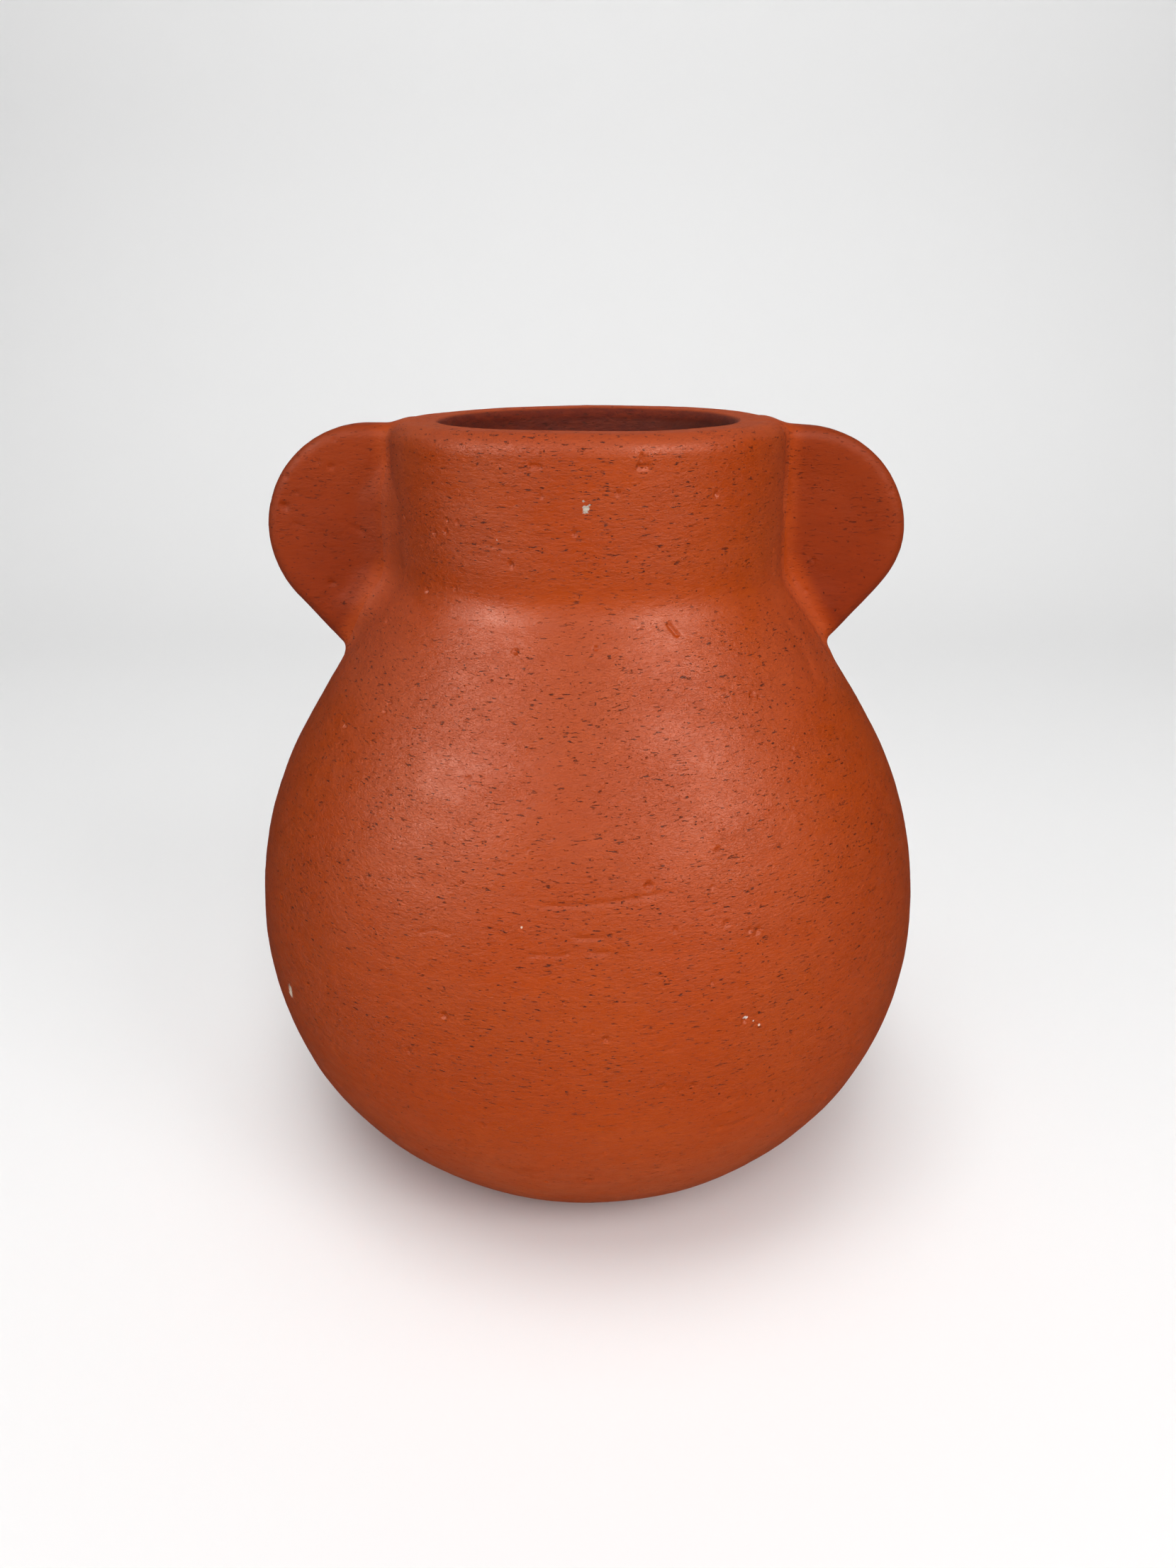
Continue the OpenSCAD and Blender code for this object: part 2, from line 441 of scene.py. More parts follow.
# Grooves: places along each as (angle, height), half width and depth in mm
GROOVES = [
    ([(-8.2, 149.3), (-3, 149.6), (3, 150.6), (8, 151.8), (12.5, 152.9)], 0.75, 0.65),
    ([(-2.6, 141), (-0.5, 140.6), (2.6, 140.8)], 0.6, 0.68),
    ([(0, 136.4), (3.2, 136.2)], 0.9, 0.68),
    ([(-9, 135), (-6, 135.4), (-2.8, 135.6)], 0.5, 0.51),
    ([(-26, 136.4), (-23, 138.6), (-19.8, 138.4)], 0.5, 0.42),
    ([(20.2, 223.3), (22.4, 219.1)], 0.7, 0.85),
    ([(12.0, 270.9), (15.8, 270.8)], 0.8, 1.02),
    ([(13.4, 272.0), (13.5, 275.0)], 0.5, 0.68),
    ([(-15.1, 270.8), (-11.4, 270.5)], 0.7, 0.77),
    ([(-1.6, 76), (4.4, 75.8)], 0.5, 0.51),
    ([(18, 71.5), (20, 69.0), (22.5, 68.3), (26.8, 69.5)], 1.2, 0.51),
    ([(-30, 247), (-22, 245.6), (-14, 245.2)], 0.45, 0.31),
]
# The clay smeared down from the right lug's root, and the hollow that fingers left beside it
RIDGES = [
    ([(64.3, 238), (73, 226), (77.5, 215), (77.5, 206), (77, 198)], 4.2, -0.5),
    ([(86, 199.5), (80, 197.5), (74, 195)], 3.0, -0.5),
    ([(62.5, 219), (61.5, 208), (60, 196)], 3.4, 0.5),
]
# Marks on the lugs' front faces: points (x, y, z), half width and depth
LUG_FACE = 7.2
LUG_STROKES = [
    ([(66, -13, 262), (68.5, -10.5, 252), (70.5, -9.5, 242), (72, -9, 232), (75, -9, 222)], 1.7, 0.9),
    ([(65, -13, 266.5), (69, -9.5, 266.3), (73.5, -8.5, 265.2), (86, -8, 263)], 0.9, 0.5),
    ([(-88.3, -8, 245.6), (-83, -8, 244.4), (-78, -8, 241.0)], 0.7, 0.3),
    ([(-104.5, -7, 245.6), (-100, -7, 244.2)], 0.7, 0.35),
    ([(-63.5, -12, 262), (-66, -11, 258)], 1.4, 0.6),
]
# Pits there: x, z, radius
LUG_PITS = [
    (-87.5, 274.0, 1.1),
    (-93.5, 266.5, 1.0),
    (-89.0, 264.8, 1.3),
    (-105.5, 261.5, 1.4),
    (-102.0, 255.8, 1.2),
    (-106.5, 251.0, 1.9),
    (-98.5, 268.0, 0.8),
    (-75.0, 266.5, 0.9),
    (-91.5, 223.5, 1.3),
    (-85.5, 216.5, 0.9),
    (96.5, 267.0, 0.9),
    (106.0, 256.0, 1.5),
    (100.0, 235.5, 1.1),
    (77.5, 249.0, 1.0),
    (80.0, 232.0, 1.3),
    (91.0, 227.0, 0.9),
    (78.0, 221.0, 0.9),
]
# Pits elsewhere: angle, height, radius and depth in mm
PITS = [
    (9.0, 154.7, 1.5, 1.1),
    (25.5, 137.5, 1.2, 0.6),
    (20.5, 141.5, 1.4, 0.5),
    (10.8, 91.1, 1.2, 0.6),
    (13.4, 89.1, 1.1, 0.5),
    (11.8, 104.8, 0.9, 0.5),
    (23.2, 80.6, 1.1, 0.5),
    (32.1, 67.5, 1.5, 0.5),
    (33.8, 63.5, 1.1, 0.5),
    (-22.5, 98.9, 1.0, 0.5),
    (-16.1, 72.9, 1.2, 0.7),
    (2.7, 64.0, 1.0, 0.5),
    (-7.4, 71.2, 1.1, 0.4),
    (-38.3, 231.2, 0.9, 0.4),
    (-12.0, 262.0, 1.0, 0.5),
    (7.5, 263.0, 1.1, 0.6),
    (-3.5, 251.0, 1.1, 0.5),
]


BELOW_LIP = ("base_slab", "lower_body", "upper_body", "shoulder", "neck")


def outer_radius(z):
    """Radius of the plain outer face at a height."""
    edge = np.concatenate([rows_along(outline(kind)[0], 1.0)[0] for kind in BELOW_LIP])
    rising = edge[edge[:, 1] > 0.01]
    return np.interp(z, rising[:, 1], rising[:, 0])


def on_jar(angle, z):
    """The point of the plain outer face at an angle and a height."""
    a = math.radians(angle)
    r = float(outer_radius(z))
    return np.array([r * math.sin(a), -r * math.cos(a), z])


def stroke_depth(p, points, half_width, depth):
    """How deep a stroke through points cuts (or stands, if depth is negative), ragged and tapered."""
    points = np.array(points, float)
    out = np.zeros(len(p))
    reach = abs(half_width) * 3.2
    low, high = points.min(0) - reach, points.max(0) + reach
    near = np.flatnonzero(((p > low) & (p < high)).all(-1))
    if not len(near):
        return out
    q = p[near]
    total = np.linalg.norm(np.diff(points, axis=0), axis=1).sum()
    best = np.full(len(q), np.inf)
    along = np.zeros(len(q))
    run = 0.0
    for a, b in zip(points[:-1], points[1:]):
        ab = b - a
        length = np.linalg.norm(ab)
        t = np.clip((q - a) @ ab / length**2, 0, 1)
        away = np.linalg.norm(q - a - t[:, None] * ab, axis=1)
        closer = away < best
        best = np.where(closer, away, best)
        along = np.where(closer, (run + t * length) / total, along)
        run += length
    taper = smooth(0, 0.15, along) * smooth(0, 0.15, 1 - along)
    broken = 0.85 + 0.4 * noise(q, 2.0 + half_width, 31)
    wander = best + 0.25 * noise(q, 3.0, 32)
    out[near] = depth * taper * broken * np.exp(-((wander / half_width) ** 2))
    return out


def pit_depth(p, centre, radius, depth):
    """How deep a small ragged pit goes in at each point."""
    out = np.zeros(len(p))
    near = np.flatnonzero((np.abs(p - centre) < radius * 2.2).all(-1))
    if len(near):
        q = p[near]
        away = np.linalg.norm(q - centre, axis=1) + 0.35 * noise(q, 1.6, 33)
        out[near] = depth * (1 - smooth(0.3 * radius, 1.15 * radius, away))
    return out


def scattered_pits(count, seed):
    """Small pits all over the jar, with their places drawn from a seed."""
    rng = np.random.default_rng(seed)
    heights = rng.uniform(8, 268, count)
    angles = rng.uniform(-180, 180, count)
    radii = rng.uniform(0.6, 1.1, count)
    return [(a, z, r, 0.8 * r) for a, z, r in zip(angles, heights, radii)]


SCATTERED = scattered_pits(150, 5)


def marks_depth(p):
    """Depth of every groove and pit at each outer point."""
    depth = np.zeros(len(p))
    for line, half_width, deep in GROOVES + RIDGES:
        depth = depth + stroke_depth(p, [on_jar(*place) for place in line], half_width, deep)
    for line, half_width, deep in LUG_STROKES:
        depth = depth + stroke_depth(p, line, half_width, deep)
    low, high = p[:, 2].min() - 3, p[:, 2].max() + 3
    for angle, z, radius, deep in PITS + SCATTERED:
        if low < z < high:
            depth = depth + pit_depth(p, on_jar(angle, z), radius, deep)
    for x, z, radius in LUG_PITS:
        depth = depth + pit_depth(p, np.array([x, -LUG_FACE, z]), radius, 0.5 * radius)
    return depth


# ---------------------------------------------------------------- meshes

COLUMNS = 700
# Columns stand closer together at the front and wider apart at the back
CROWDING = 0.35
OUTER_STEP = {
    "base_slab": 1.2,
    "lower_body": 0.85,
    "upper_body": 0.6,
    "shoulder": 0.5,
    "neck": 0.6,
    "lip": 0.5,
}
INNER_STEP = 5.0
# Rows past each end of a skin, from which its last normals are worked out
SPARE_ROWS = 1
# Where the body is searched for a lug's fillet, and the most that it can rise there
FILLET_X, FILLET_Y, FILLET_Z, FILLET_TOP = 40, 40, 165, 14.0
# How much of the rise past the body's share is kept, and at most how much
PAST_SHARE, PAST_MOST = 0.4, 2.5
HALVINGS = 18


def column_angles():
    u = np.arange(COLUMNS) / COLUMNS * 2 * math.pi
    return u - CROWDING * np.sin(u)


ANGLES = column_angles()


def turned(points, normals):
    """Revolves the half section: grids of points and normals, rows by columns."""
    s, c = np.sin(ANGLES), -np.cos(ANGLES)

    def revolve(pairs):
        across, up = pairs[:, 0, None], pairs[:, 1, None]
        return np.stack([across * s, across * c, np.broadcast_to(up, (len(pairs), COLUMNS))], -1)

    return revolve(points), revolve(normals)


def fillet_rise(p, n):
    """How far the body's skin rises along n to share the soft fillet at a lug's root.

    It climbs a quarter of the fillet's reach, and past that turns in under the lug's skin.
    """
    rise = np.zeros(p.shape[:-1])
    for side in (1, -1):
        beside = (side * p[..., 0] > FILLET_X) & (np.abs(p[..., 1]) < FILLET_Y)
        close = beside & (p[..., 2] > FILLET_Z)
        index = np.nonzero(close)
        q, m = p[index], n[index]
        if not len(q):
            continue
        reach = blend_reach(q, side)
        near = lug_distance(q, side) < reach
        low, high = np.zeros(len(q)), np.full(len(q), FILLET_TOP)
        for _ in range(HALVINGS):
            middle = (low + high) / 2
            inside = whole_distance(q + m * middle[:, None], side) < 0
            low, high = np.where(inside, middle, low), np.where(inside, high, middle)
        height = np.where(near, (low + high) / 2, 0)
        over = np.clip(height - reach / 4, 0, None)
        past = np.minimum(PAST_SHARE * over, PAST_MOST)
        rise[index] = np.where(over > 0, reach / 4 + past, height)
    return rise


def outer_skin(stretches, spacing):
    """Grid of the outer face's points, uneven and marked, with a spare row at each end."""
    points, normals = rows_along(stretches, spacing, SPARE_ROWS)
    grid, ways = turned(points, normals)
    rise = fillet_rise(grid, ways)
    grid = grid + ways * rise[..., None]
    flat = grid.reshape(-1, 3)
    lift = relief_outside(flat) - marks_depth(flat)
    foot = smooth(0.5, 6, flat[:, 2])
    skin = warp(flat + ways.reshape(-1, 3) * (lift * foot)[:, None])
    return skin.reshape(grid.shape)


def inner_skin(stretches):
    """Grid of the inner face's points, with finger marks and a spare row at each end."""
    points, normals = rows_along(stretches, INNER_STEP, SPARE_ROWS)
    grid, ways = turned(points, normals)
    flat = grid.reshape(-1, 3)
    skin = warp(flat + ways.reshape(-1, 3) * relief_inside(flat)[:, None])
    return skin.reshape(grid.shape)


def grid_normals(grid):
    """Unit normals of a grid that closes on itself column-wise and has spare rows at both ends."""
    down = grid[2:] - grid[:-2]
    round_ = np.roll(grid, -1, 1)[1:-1] - np.roll(grid, 1, 1)[1:-1]
    n = np.cross(round_, down)
    return n / np.clip(np.linalg.norm(n, axis=-1, keepdims=True), 1e-12, None)


def mesh_object(name, verts, faces, corner_normals, material):
    mesh = bpy.data.meshes.new(name)
    mesh.from_pydata((verts * MM).tolist(), [], faces)
    mesh.polygons.foreach_set("use_smooth", np.ones(len(mesh.polygons), bool))
    if corner_normals is not None:
        mesh.normals_split_custom_set(corner_normals.tolist())
    mesh.materials.append(material)
    mesh.update()
    piece = bpy.data.objects.new(name, mesh)
    bpy.context.scene.collection.objects.link(piece)
    return piece


def strip_faces(first, second):
    """Quads between two rings of vertex numbers, one for each column."""
    return np.stack([first, np.roll(first, -1), np.roll(second, -1), second], -1)


def strip_normals(low, high):
    return np.stack([low, np.roll(low, -1, 0), np.roll(high, -1, 0), high], 1)


def flat_normals(verts, quads):
    a, b, c = verts[quads[:, 0]], verts[quads[:, 1]], verts[quads[:, 2]]
    flat = np.cross(b - a, c - a)
    flat /= np.linalg.norm(flat, axis=-1, keepdims=True)
    return np.repeat(flat[:, None], 4, 1)


def wall_piece(name, material):
    """A closed ring of wall: its outer skin, its inner skin and the two luted joints."""
    outside, inside = outline(name)
    skins = [outer_skin(outside, OUTER_STEP[name])]
    if inside:
        skins.append(inner_skin(inside))
    rings, ring_normals, verts = [], [], []
    count = 0
    for skin in skins:
        body = skin[1:-1]
        numbers = count + np.arange(body.shape[0] * COLUMNS).reshape(-1, COLUMNS)
        rings.append(numbers)
        ring_normals.append(grid_normals(skin))
        verts.append(body.reshape(-1, 3))
        count += numbers.size
    verts = np.concatenate(verts)
    faces, corners = [], []
    for numbers, normals in zip(rings, ring_normals):
        for row in range(len(numbers) - 1):
            faces.append(strip_faces(numbers[row], numbers[row + 1]))
            corners.append(strip_normals(normals[row], normals[row + 1]))
    ends = [(rings[0][-1], rings[-1][0] if len(rings) > 1 else rings[0][0])]
    if len(rings) > 1:
        ends.append((rings[1][-1], rings[0][0]))
    for first, second in ends:
        quads = strip_faces(first, second)
        faces.append(quads)
        corners.append(flat_normals(verts, quads))
    return mesh_object(
        name + "_clay",
        verts,
        np.concatenate(faces).tolist(),
        np.concatenate(corners).reshape(-1, 3),
        material,
    )


# ---------------------------------------------------------------- lugs

LUG_STEP = 0.7
# The lug's clay is keyed this far into the wall, out of sight
LUG_ROOT = 5.0
# The space that a lug is meshed in: from the axis out, to either side, and up
LUG_NEAR, LUG_FAR, LUG_SIDE, LUG_FOOT, LUG_HEAD = 44, 118, 34.0, 170.0, 290.0


def lug_field(side):
    """The field whose zero surface is one lug, with its share of the fillet and a root in the wall."""

    def field(p):
        body, lug, reach = body_distance(p), lug_distance(p, side), blend_reach(p, side)
        skin = soft_min(body, lug, reach) + 0.45 * np.clip(lug - reach / 4, 0, None)
        return np.maximum(skin, -(body + LUG_ROOT))

    return field


def edge_cuts(values, cells):
    """For each cell, the sum of the places where its edges cross the surface, and their count."""
    total = np.zeros((*cells, 3))
    crossed = np.zeros(cells)
    for axis in range(3):
        others = [n for n in range(3) if n != axis]
        a = np.take(values, range(cells[axis]), axis)
        b = np.take(values, range(1, cells[axis] + 1), axis)
        cuts = (a < 0) != (b < 0)
        where = np.where(cuts, a / np.where(cuts, a - b, 1), 0)
        for shift in np.ndindex(2, 2):
            window = [slice(None)] * 3
            offset = np.zeros(3)
            for n, s in zip(others, shift):
                window[n] = slice(s, s + cells[n])
                offset[n] = s
            c, w = cuts[tuple(window)], where[tuple(window)]
            for n in range(3):
                total[..., n] += np.where(c, w if n == axis else offset[n], 0)
            crossed += c
    return total, crossed


def edge_quads(inside, cells, numbers):
    """A quad round every grid edge that crosses the surface, turned to face out of the solid."""
    faces = []
    for axis in range(3):
        b, c = (axis + 1) % 3, (axis + 2) % 3
        a_in = np.take(inside, range(cells[axis]), axis)
        b_in = np.take(inside, range(1, cells[axis] + 1), axis)
        for flip, chosen in ((False, a_in & ~b_in), (True, ~a_in & b_in)):
            index = np.stack(np.nonzero(chosen), -1)
            index = index[(index[:, b] > 0) & (index[:, c] > 0)]
            index = index[(index[:, b] < cells[b]) & (index[:, c] < cells[c])]
            quad = []
            for db, dc in ((1, 1), (0, 1), (0, 0), (1, 0)):
                cell = index.copy()
                cell[:, b] -= db
                cell[:, c] -= dc
                quad.append(numbers[tuple(cell.T)])
            quad = np.stack(quad, -1)
            faces.append(quad[:, ::-1] if flip else quad)
    return np.concatenate(faces)


def net_surface(field, low, high, step):
    """Closed quad mesh of a field's zero surface: one vertex in each cell that it crosses."""
    size = np.ceil((high - low) / step).astype(int) + 1
    axes = [low[n] + step * np.arange(size[n]) for n in range(3)]
    values = field(np.stack(np.meshgrid(*axes, indexing="ij"), -1))
    cells = size - 1
    total, crossed = edge_cuts(values, cells)
    live = crossed > 0
    numbers = np.full(cells, -1)
    numbers[live] = np.arange(live.sum())
    corner = np.stack(np.nonzero(live), -1)
    verts = low + step * (corner + total[live] / crossed[live][:, None])
    return verts, edge_quads(values < 0, cells, numbers)


def vertex_normals(verts, faces):
    a, b, c, d = (verts[faces[:, n]] for n in range(4))
    flat = np.cross(c - a, d - b)
    normals = np.zeros_like(verts)
    for n in range(4):
        np.add.at(normals, faces[:, n], flat)
    return normals / np.clip(np.linalg.norm(normals, axis=-1, keepdims=True), 1e-12, None)


def lug_piece(node, side, material):
    """One closed lug: its net is pulled on to the field's surface, then made uneven and marked."""
    low = np.array([min(side * LUG_NEAR, side * LUG_FAR), -LUG_SIDE, LUG_FOOT])
    high = np.array([max(side * LUG_NEAR, side * LUG_FAR), LUG_SIDE, LUG_HEAD])
    field = lug_field(side)
    verts, faces = net_surface(field, low, high, LUG_STEP)
    for _ in range(3):
        grad = np.stack([field(verts + 0.3 * e) - field(verts - 0.3 * e) for e in np.eye(3)], -1) / 0.6
        square = np.clip((grad * grad).sum(-1, keepdims=True), 0.05, None)
        verts = verts - grad * field(verts)[:, None] / square * 0.9
    ways = slope_of(lambda p: whole_distance(p, side), verts)
    shown = smooth(-1.0, 0.5, body_distance(verts))
    lift = relief_outside(verts) - marks_depth(verts)
    verts = warp(verts + ways * (lift * shown)[:, None])
    normals = vertex_normals(verts, faces)
    return mesh_object(node + "_clay", verts, faces.tolist(), normals[faces].reshape(-1, 3), material)


# ---------------------------------------------------------------- base slab


def base_piece(material):
    """The slab that closes the bottom: underside, rubbed edge, the joint's ledge and the floor."""
    outside, inside = outline("base_slab")
    under = outer_skin(outside, OUTER_STEP["base_slab"])[1:]
    floor = inner_skin(inside)[:-1]
    poles = np.stack([under[0].mean(0), floor[-1].mean(0)])
    rows = [under[1:-1], floor[1:-1]]
    ways = [grid_normals(under), grid_normals(floor)]
    rings, count = [], 0
    for grid in rows:
        rings.append(count + np.arange(grid.shape[0] * COLUMNS).reshape(-1, COLUMNS))
        count += grid.shape[0] * COLUMNS
    verts = np.concatenate([g.reshape(-1, 3) for g in rows] + [poles])
    faces, corners = [], []
    for numbers, normals in zip(rings, ways):
        for row in range(len(numbers) - 1):
            faces += strip_faces(numbers[row], numbers[row + 1]).tolist()
            corners.append(strip_normals(normals[row], normals[row + 1]))
    ledge = strip_faces(rings[0][-1], rings[1][0])
    faces += ledge.tolist()
    corners.append(flat_normals(verts, ledge))
    for n in range(COLUMNS):
        m = (n + 1) % COLUMNS
        faces.append([count, int(rings[0][0][m]), int(rings[0][0][n])])
        faces.append([count + 1, int(rings[1][-1][n]), int(rings[1][-1][m])])
    fans = np.tile([[0, 0, -1]] * 3 + [[0, 0, 1]] * 3, (COLUMNS, 1))
    corners = np.concatenate([np.concatenate(corners).reshape(-1, 3), fans])
    return mesh_object("base_slab_clay", verts, faces, corners, material)


# ---------------------------------------------------------------- material


class Shader:
    """Short words for making shader nodes and joining them up."""

    def __init__(self, name):
        self.material = bpy.data.materials.new(name)
        self.material.use_nodes = True
        self.tree = self.material.node_tree
        self.surface = self.tree.nodes["Principled BSDF"]

    def node(self, kind, *values, **settings):
        """Makes a node; each value goes into the socket of its place, as a link or a number."""
        made = self.tree.nodes.new("ShaderNode" + kind)
        for name, value in settings.items():
            setattr(made, name, value)
        for socket, value in zip(made.inputs, values):
            self.put(socket, value)
        return made

    def put(self, socket, value):
        if isinstance(value, bpy.types.NodeSocket):
            self.tree.links.new(value, socket)
        elif value is not None:
            socket.default_value = value

    def math(self, operation, a, b=0.0):
        return self.node("Math", a, b, operation=operation).outputs[0]

    def add(self, *terms):
        total = terms[0]
        for term in terms[1:]:
            total = self.math("ADD", total, term)
        return total

    def times(self, *terms):
        total = terms[0]
        for term in terms[1:]:
            total = self.math("MULTIPLY", total, term)
        return total

    def vector(self, operation, a, b):
        return self.node("VectorMath", a, b, operation=operation).outputs[0]

    def noise(self, where, size, detail=2.0, rough=0.5, shift=0.0):
        """Noise from 0 to 1 with features about size mm across: one number, or one for each axis."""
        size = np.broadcast_to(np.asarray(size, float), 3)
        scaled = self.vector("MULTIPLY", where, tuple(1 / size))
        moved = self.vector("ADD", scaled, (shift, 0.37 * shift, 0.71 * shift))
        made = self.node("TexNoise")
        self.put(made.inputs["Vector"], moved)
        for name, value in (("Scale", 1.0), ("Detail", detail), ("Roughness", rough)):
            made.inputs[name].default_value = value
        return made.outputs[0]

    def step(self, value, low, high, out_low=0.0, out_high=1.0):
        """Eases from out_low to out_high while value goes from low to high."""
        made = self.node("MapRange", value, low, high, out_low, out_high)
        made.interpolation_type = "SMOOTHSTEP"
        return made.outputs[0]

    def blend(self, share, first, second):
        """The colour first, with share of the colour second over it."""
        made = self.node("Mix", data_type="RGBA")
        self.put(made.inputs[0], share)
        for socket, colour in ((made.inputs[6], first), (made.inputs[7], second)):
            self.put(socket, (*colour, 1) if isinstance(colour, tuple) else colour)
        return made.outputs[2]


ORANGE = (0.42, 0.049, 0.0008)
DEEP = (0.33, 0.033, 0.0006)
WARM = (0.44, 0.060, 0.0032)
LUG_RED = (0.225, 0.021, 0.0005)
# Paler lug clay, for the lugs' random pale clouds and the painted light on their tops
LUG_PALE_LIT = (0.30, 0.035, 0.0020)
# Painted reflection of the pale floor, for the low body
PAINTED_FLOOR_REFLECTION = (0.43, 0.088, 0.0260)
# Painted shade for the tears and pores
PAINTED_RECESS_SHADE = (0.09, 0.009, 0.001)
# Painted shade for the skin that faces the jar's axis
PAINTED_INSIDE_SHADE = (0.11, 0.006, 0.0004)
SHEEN = (1.0, 0.66, 0.54, 1)
BODY_SPECULAR, LUG_SPECULAR = 0.28, 0.16
# Flecks on the clay: angle, height, radius, colour
FLECKS = [
    (-0.45, 258.3, 1.25, (0.52, 0.46, 0.38)),
    (-1.2, 260.8, 0.55, (0.45, 0.36, 0.28)),
    (0.4, 259.6, 0.5, (0.45, 0.36, 0.28)),
    (-56.1, 92.4, 2.0, (0.80, 0.62, 0.48)),
    (-56.0, 94.6, 1.6, (0.80, 0.62, 0.48)),
    (22.8, 111.0, 0.75, (0.80, 0.66, 0.60)),
    (24.1, 109.2, 0.45, (0.75, 0.52, 0.42)),
    (25.1, 107.3, 0.5, (0.75, 0.52, 0.42)),
    (-9.6, 143.1, 0.5, (0.80, 0.55, 0.40)),
    (-24.1, 248.1, 0.45, (0.70, 0.45, 0.35)),
]


def drag_share(clay, where, z, on_lug):
    """How much the skin was dragged: most on the neck and the belly, in patches."""
    patch = clay.step(clay.noise(where, (34, 34, 18), 2, 0.55), 0.36, 0.62)
    if on_lug:
        return clay.step(patch, 0, 1, 0.20, 0.60)
    zone = clay.add(
        clay.step(z, 62, 102, 0.30, 0.95),
        clay.step(z, 212, 224, 0.0, -0.45),
        clay.step(z, 232, 240, 0.0, 0.50),
    )
    return clay.times(zone, clay.step(patch, 0, 1, 0.7, 1.1))


def torn_relief(clay, where, drag, tears, pores):
    """Relief in mm: leathery bumps, torn flakes, level tears, small pores and a fine grain."""
    leather = clay.noise(where, (1.7, 1.7, 0.8), 4, 0.7)
    flake_noise = clay.noise(where, (3.4, 3.4, 1.3), 4, 0.65, 12.0)
    flakes = clay.add(clay.step(flake_noise, 0.44, 0.48), clay.step(flake_noise, 0.56, 0.60))
    grain = clay.noise(where, 0.55, 2, 0.6, 3.0)
    return clay.add(
        clay.times(leather, drag, 0.30),
        clay.times(flakes, drag, 0.07),
        clay.times(tears, clay.add(drag, 0.1), -0.32),
        clay.times(pores, -0.36),
        clay.times(grain, 0.06),
    )


def lug_share(clay, flat_place, z):
    """Where the lugs' redder clay shows: on what stands proud of the neck and the shoulder."""
    away = clay.node("VectorMath", flat_place, operation="LENGTH").outputs["Value"]
    below_neck = clay.add(236, clay.times(z, -1))
    wall_r = clay.add(NECK_R, clay.math("MAXIMUM", clay.times(below_neck, 0.58), 0))
    proud = clay.add(away, clay.times(wall_r, -1))
    return clay.times(clay.step(proud, 0.5, 8), clay.step(z, 190, 200))


def inside_share(clay, flat_place):
    """Where the skin faces the jar's axis."""
    facing = clay.node("NewGeometry").outputs["Normal"]
    outward = clay.node("VectorMath", facing, flat_place, operation="DOT_PRODUCT").outputs["Value"]
    return clay.step(outward, -10, -35)


def clouded_colour(clay, where, z, on_lugs, within):
    """Clouds, redder lugs painted paler towards their tops as painted light, a painted reflection of the
    floor low down, and painted shade inside. A lug's own clay has no within.
    """
    cloud = clay.step(clay.noise(where, 42, 3, 0.5, 2.0), 0.35, 0.65)
    # The lugs pale towards their tops as painted light, and in random clouds
    cloud_and_painted_light = clay.add(clay.times(cloud, 0.35), clay.times(clay.step(z, 205, 268), 0.65))
    colour = clay.blend(clay.times(cloud, 0.5), ORANGE, WARM)
    colour = clay.blend(on_lugs, colour, clay.blend(cloud_and_painted_light, LUG_RED, LUG_PALE_LIT))
    if within is not None:
        # Painted reflection of the floor: a paler, pinker colour low down, broken in streaks
        reflection_streak = clay.noise(where, (14, 14, 5), 3, 0.6, 4.0)
        low = clay.times(clay.step(z, 85, 15), clay.step(reflection_streak, 0.3, 0.7, 0.35, 1.0))
        colour = clay.blend(clay.times(low, 0.85), colour, PAINTED_FLOOR_REFLECTION)
        # Painted shade: the skin that faces the axis is darkened
        colour = clay.blend(within, colour, PAINTED_INSIDE_SHADE)
    speck = clay.step(clay.noise(where, (6, 6, 2.5), 3, 0.6, 7.0), 0.3, 0.7)
    return clay.blend(clay.times(speck, 0.25), colour, DEEP)


def with_flecks(clay, where, colour):
    """The colour with the pale flecks on it, each with a ragged edge."""
    ragged = clay.times(clay.add(clay.noise(where, 1.1, 2, 0.6, 6.0), -0.5), 2.2)
    for angle, height, radius, fleck in FLECKS:
        centre = warp(on_jar(angle, height)[None])[0]
        apart = clay.node("VectorMath", where, tuple(centre), operation="DISTANCE").outputs["Value"]
        edge = clay.add(apart, clay.times(ragged, radius))
        colour = clay.blend(clay.step(edge, radius, 0.6 * radius), colour, fleck)
    return colour


def clay_roughness(clay, where, x, z, within):
    """Duller near the lugs, inside, and on the lip's flat top, which would glare from low behind."""
    rough = clay.step(clay.noise(where, (9, 9, 5), 2, 0.5, 8.0), 0.3, 0.7, 0.37, 0.46)
    near_lugs = clay.times(clay.step(clay.math("ABSOLUTE", x), 50, 66), clay.step(z, 184, 204))
    rough = clay.add(rough, clay.times(near_lugs, 0.22))
    rough = clay.add(rough, clay.times(clay.step(z, TOP_Z - 5, TOP_Z - 1), 0.5))
    if within is not None:
        rough = clay.add(rough, clay.times(within, 0.4))
    return rough


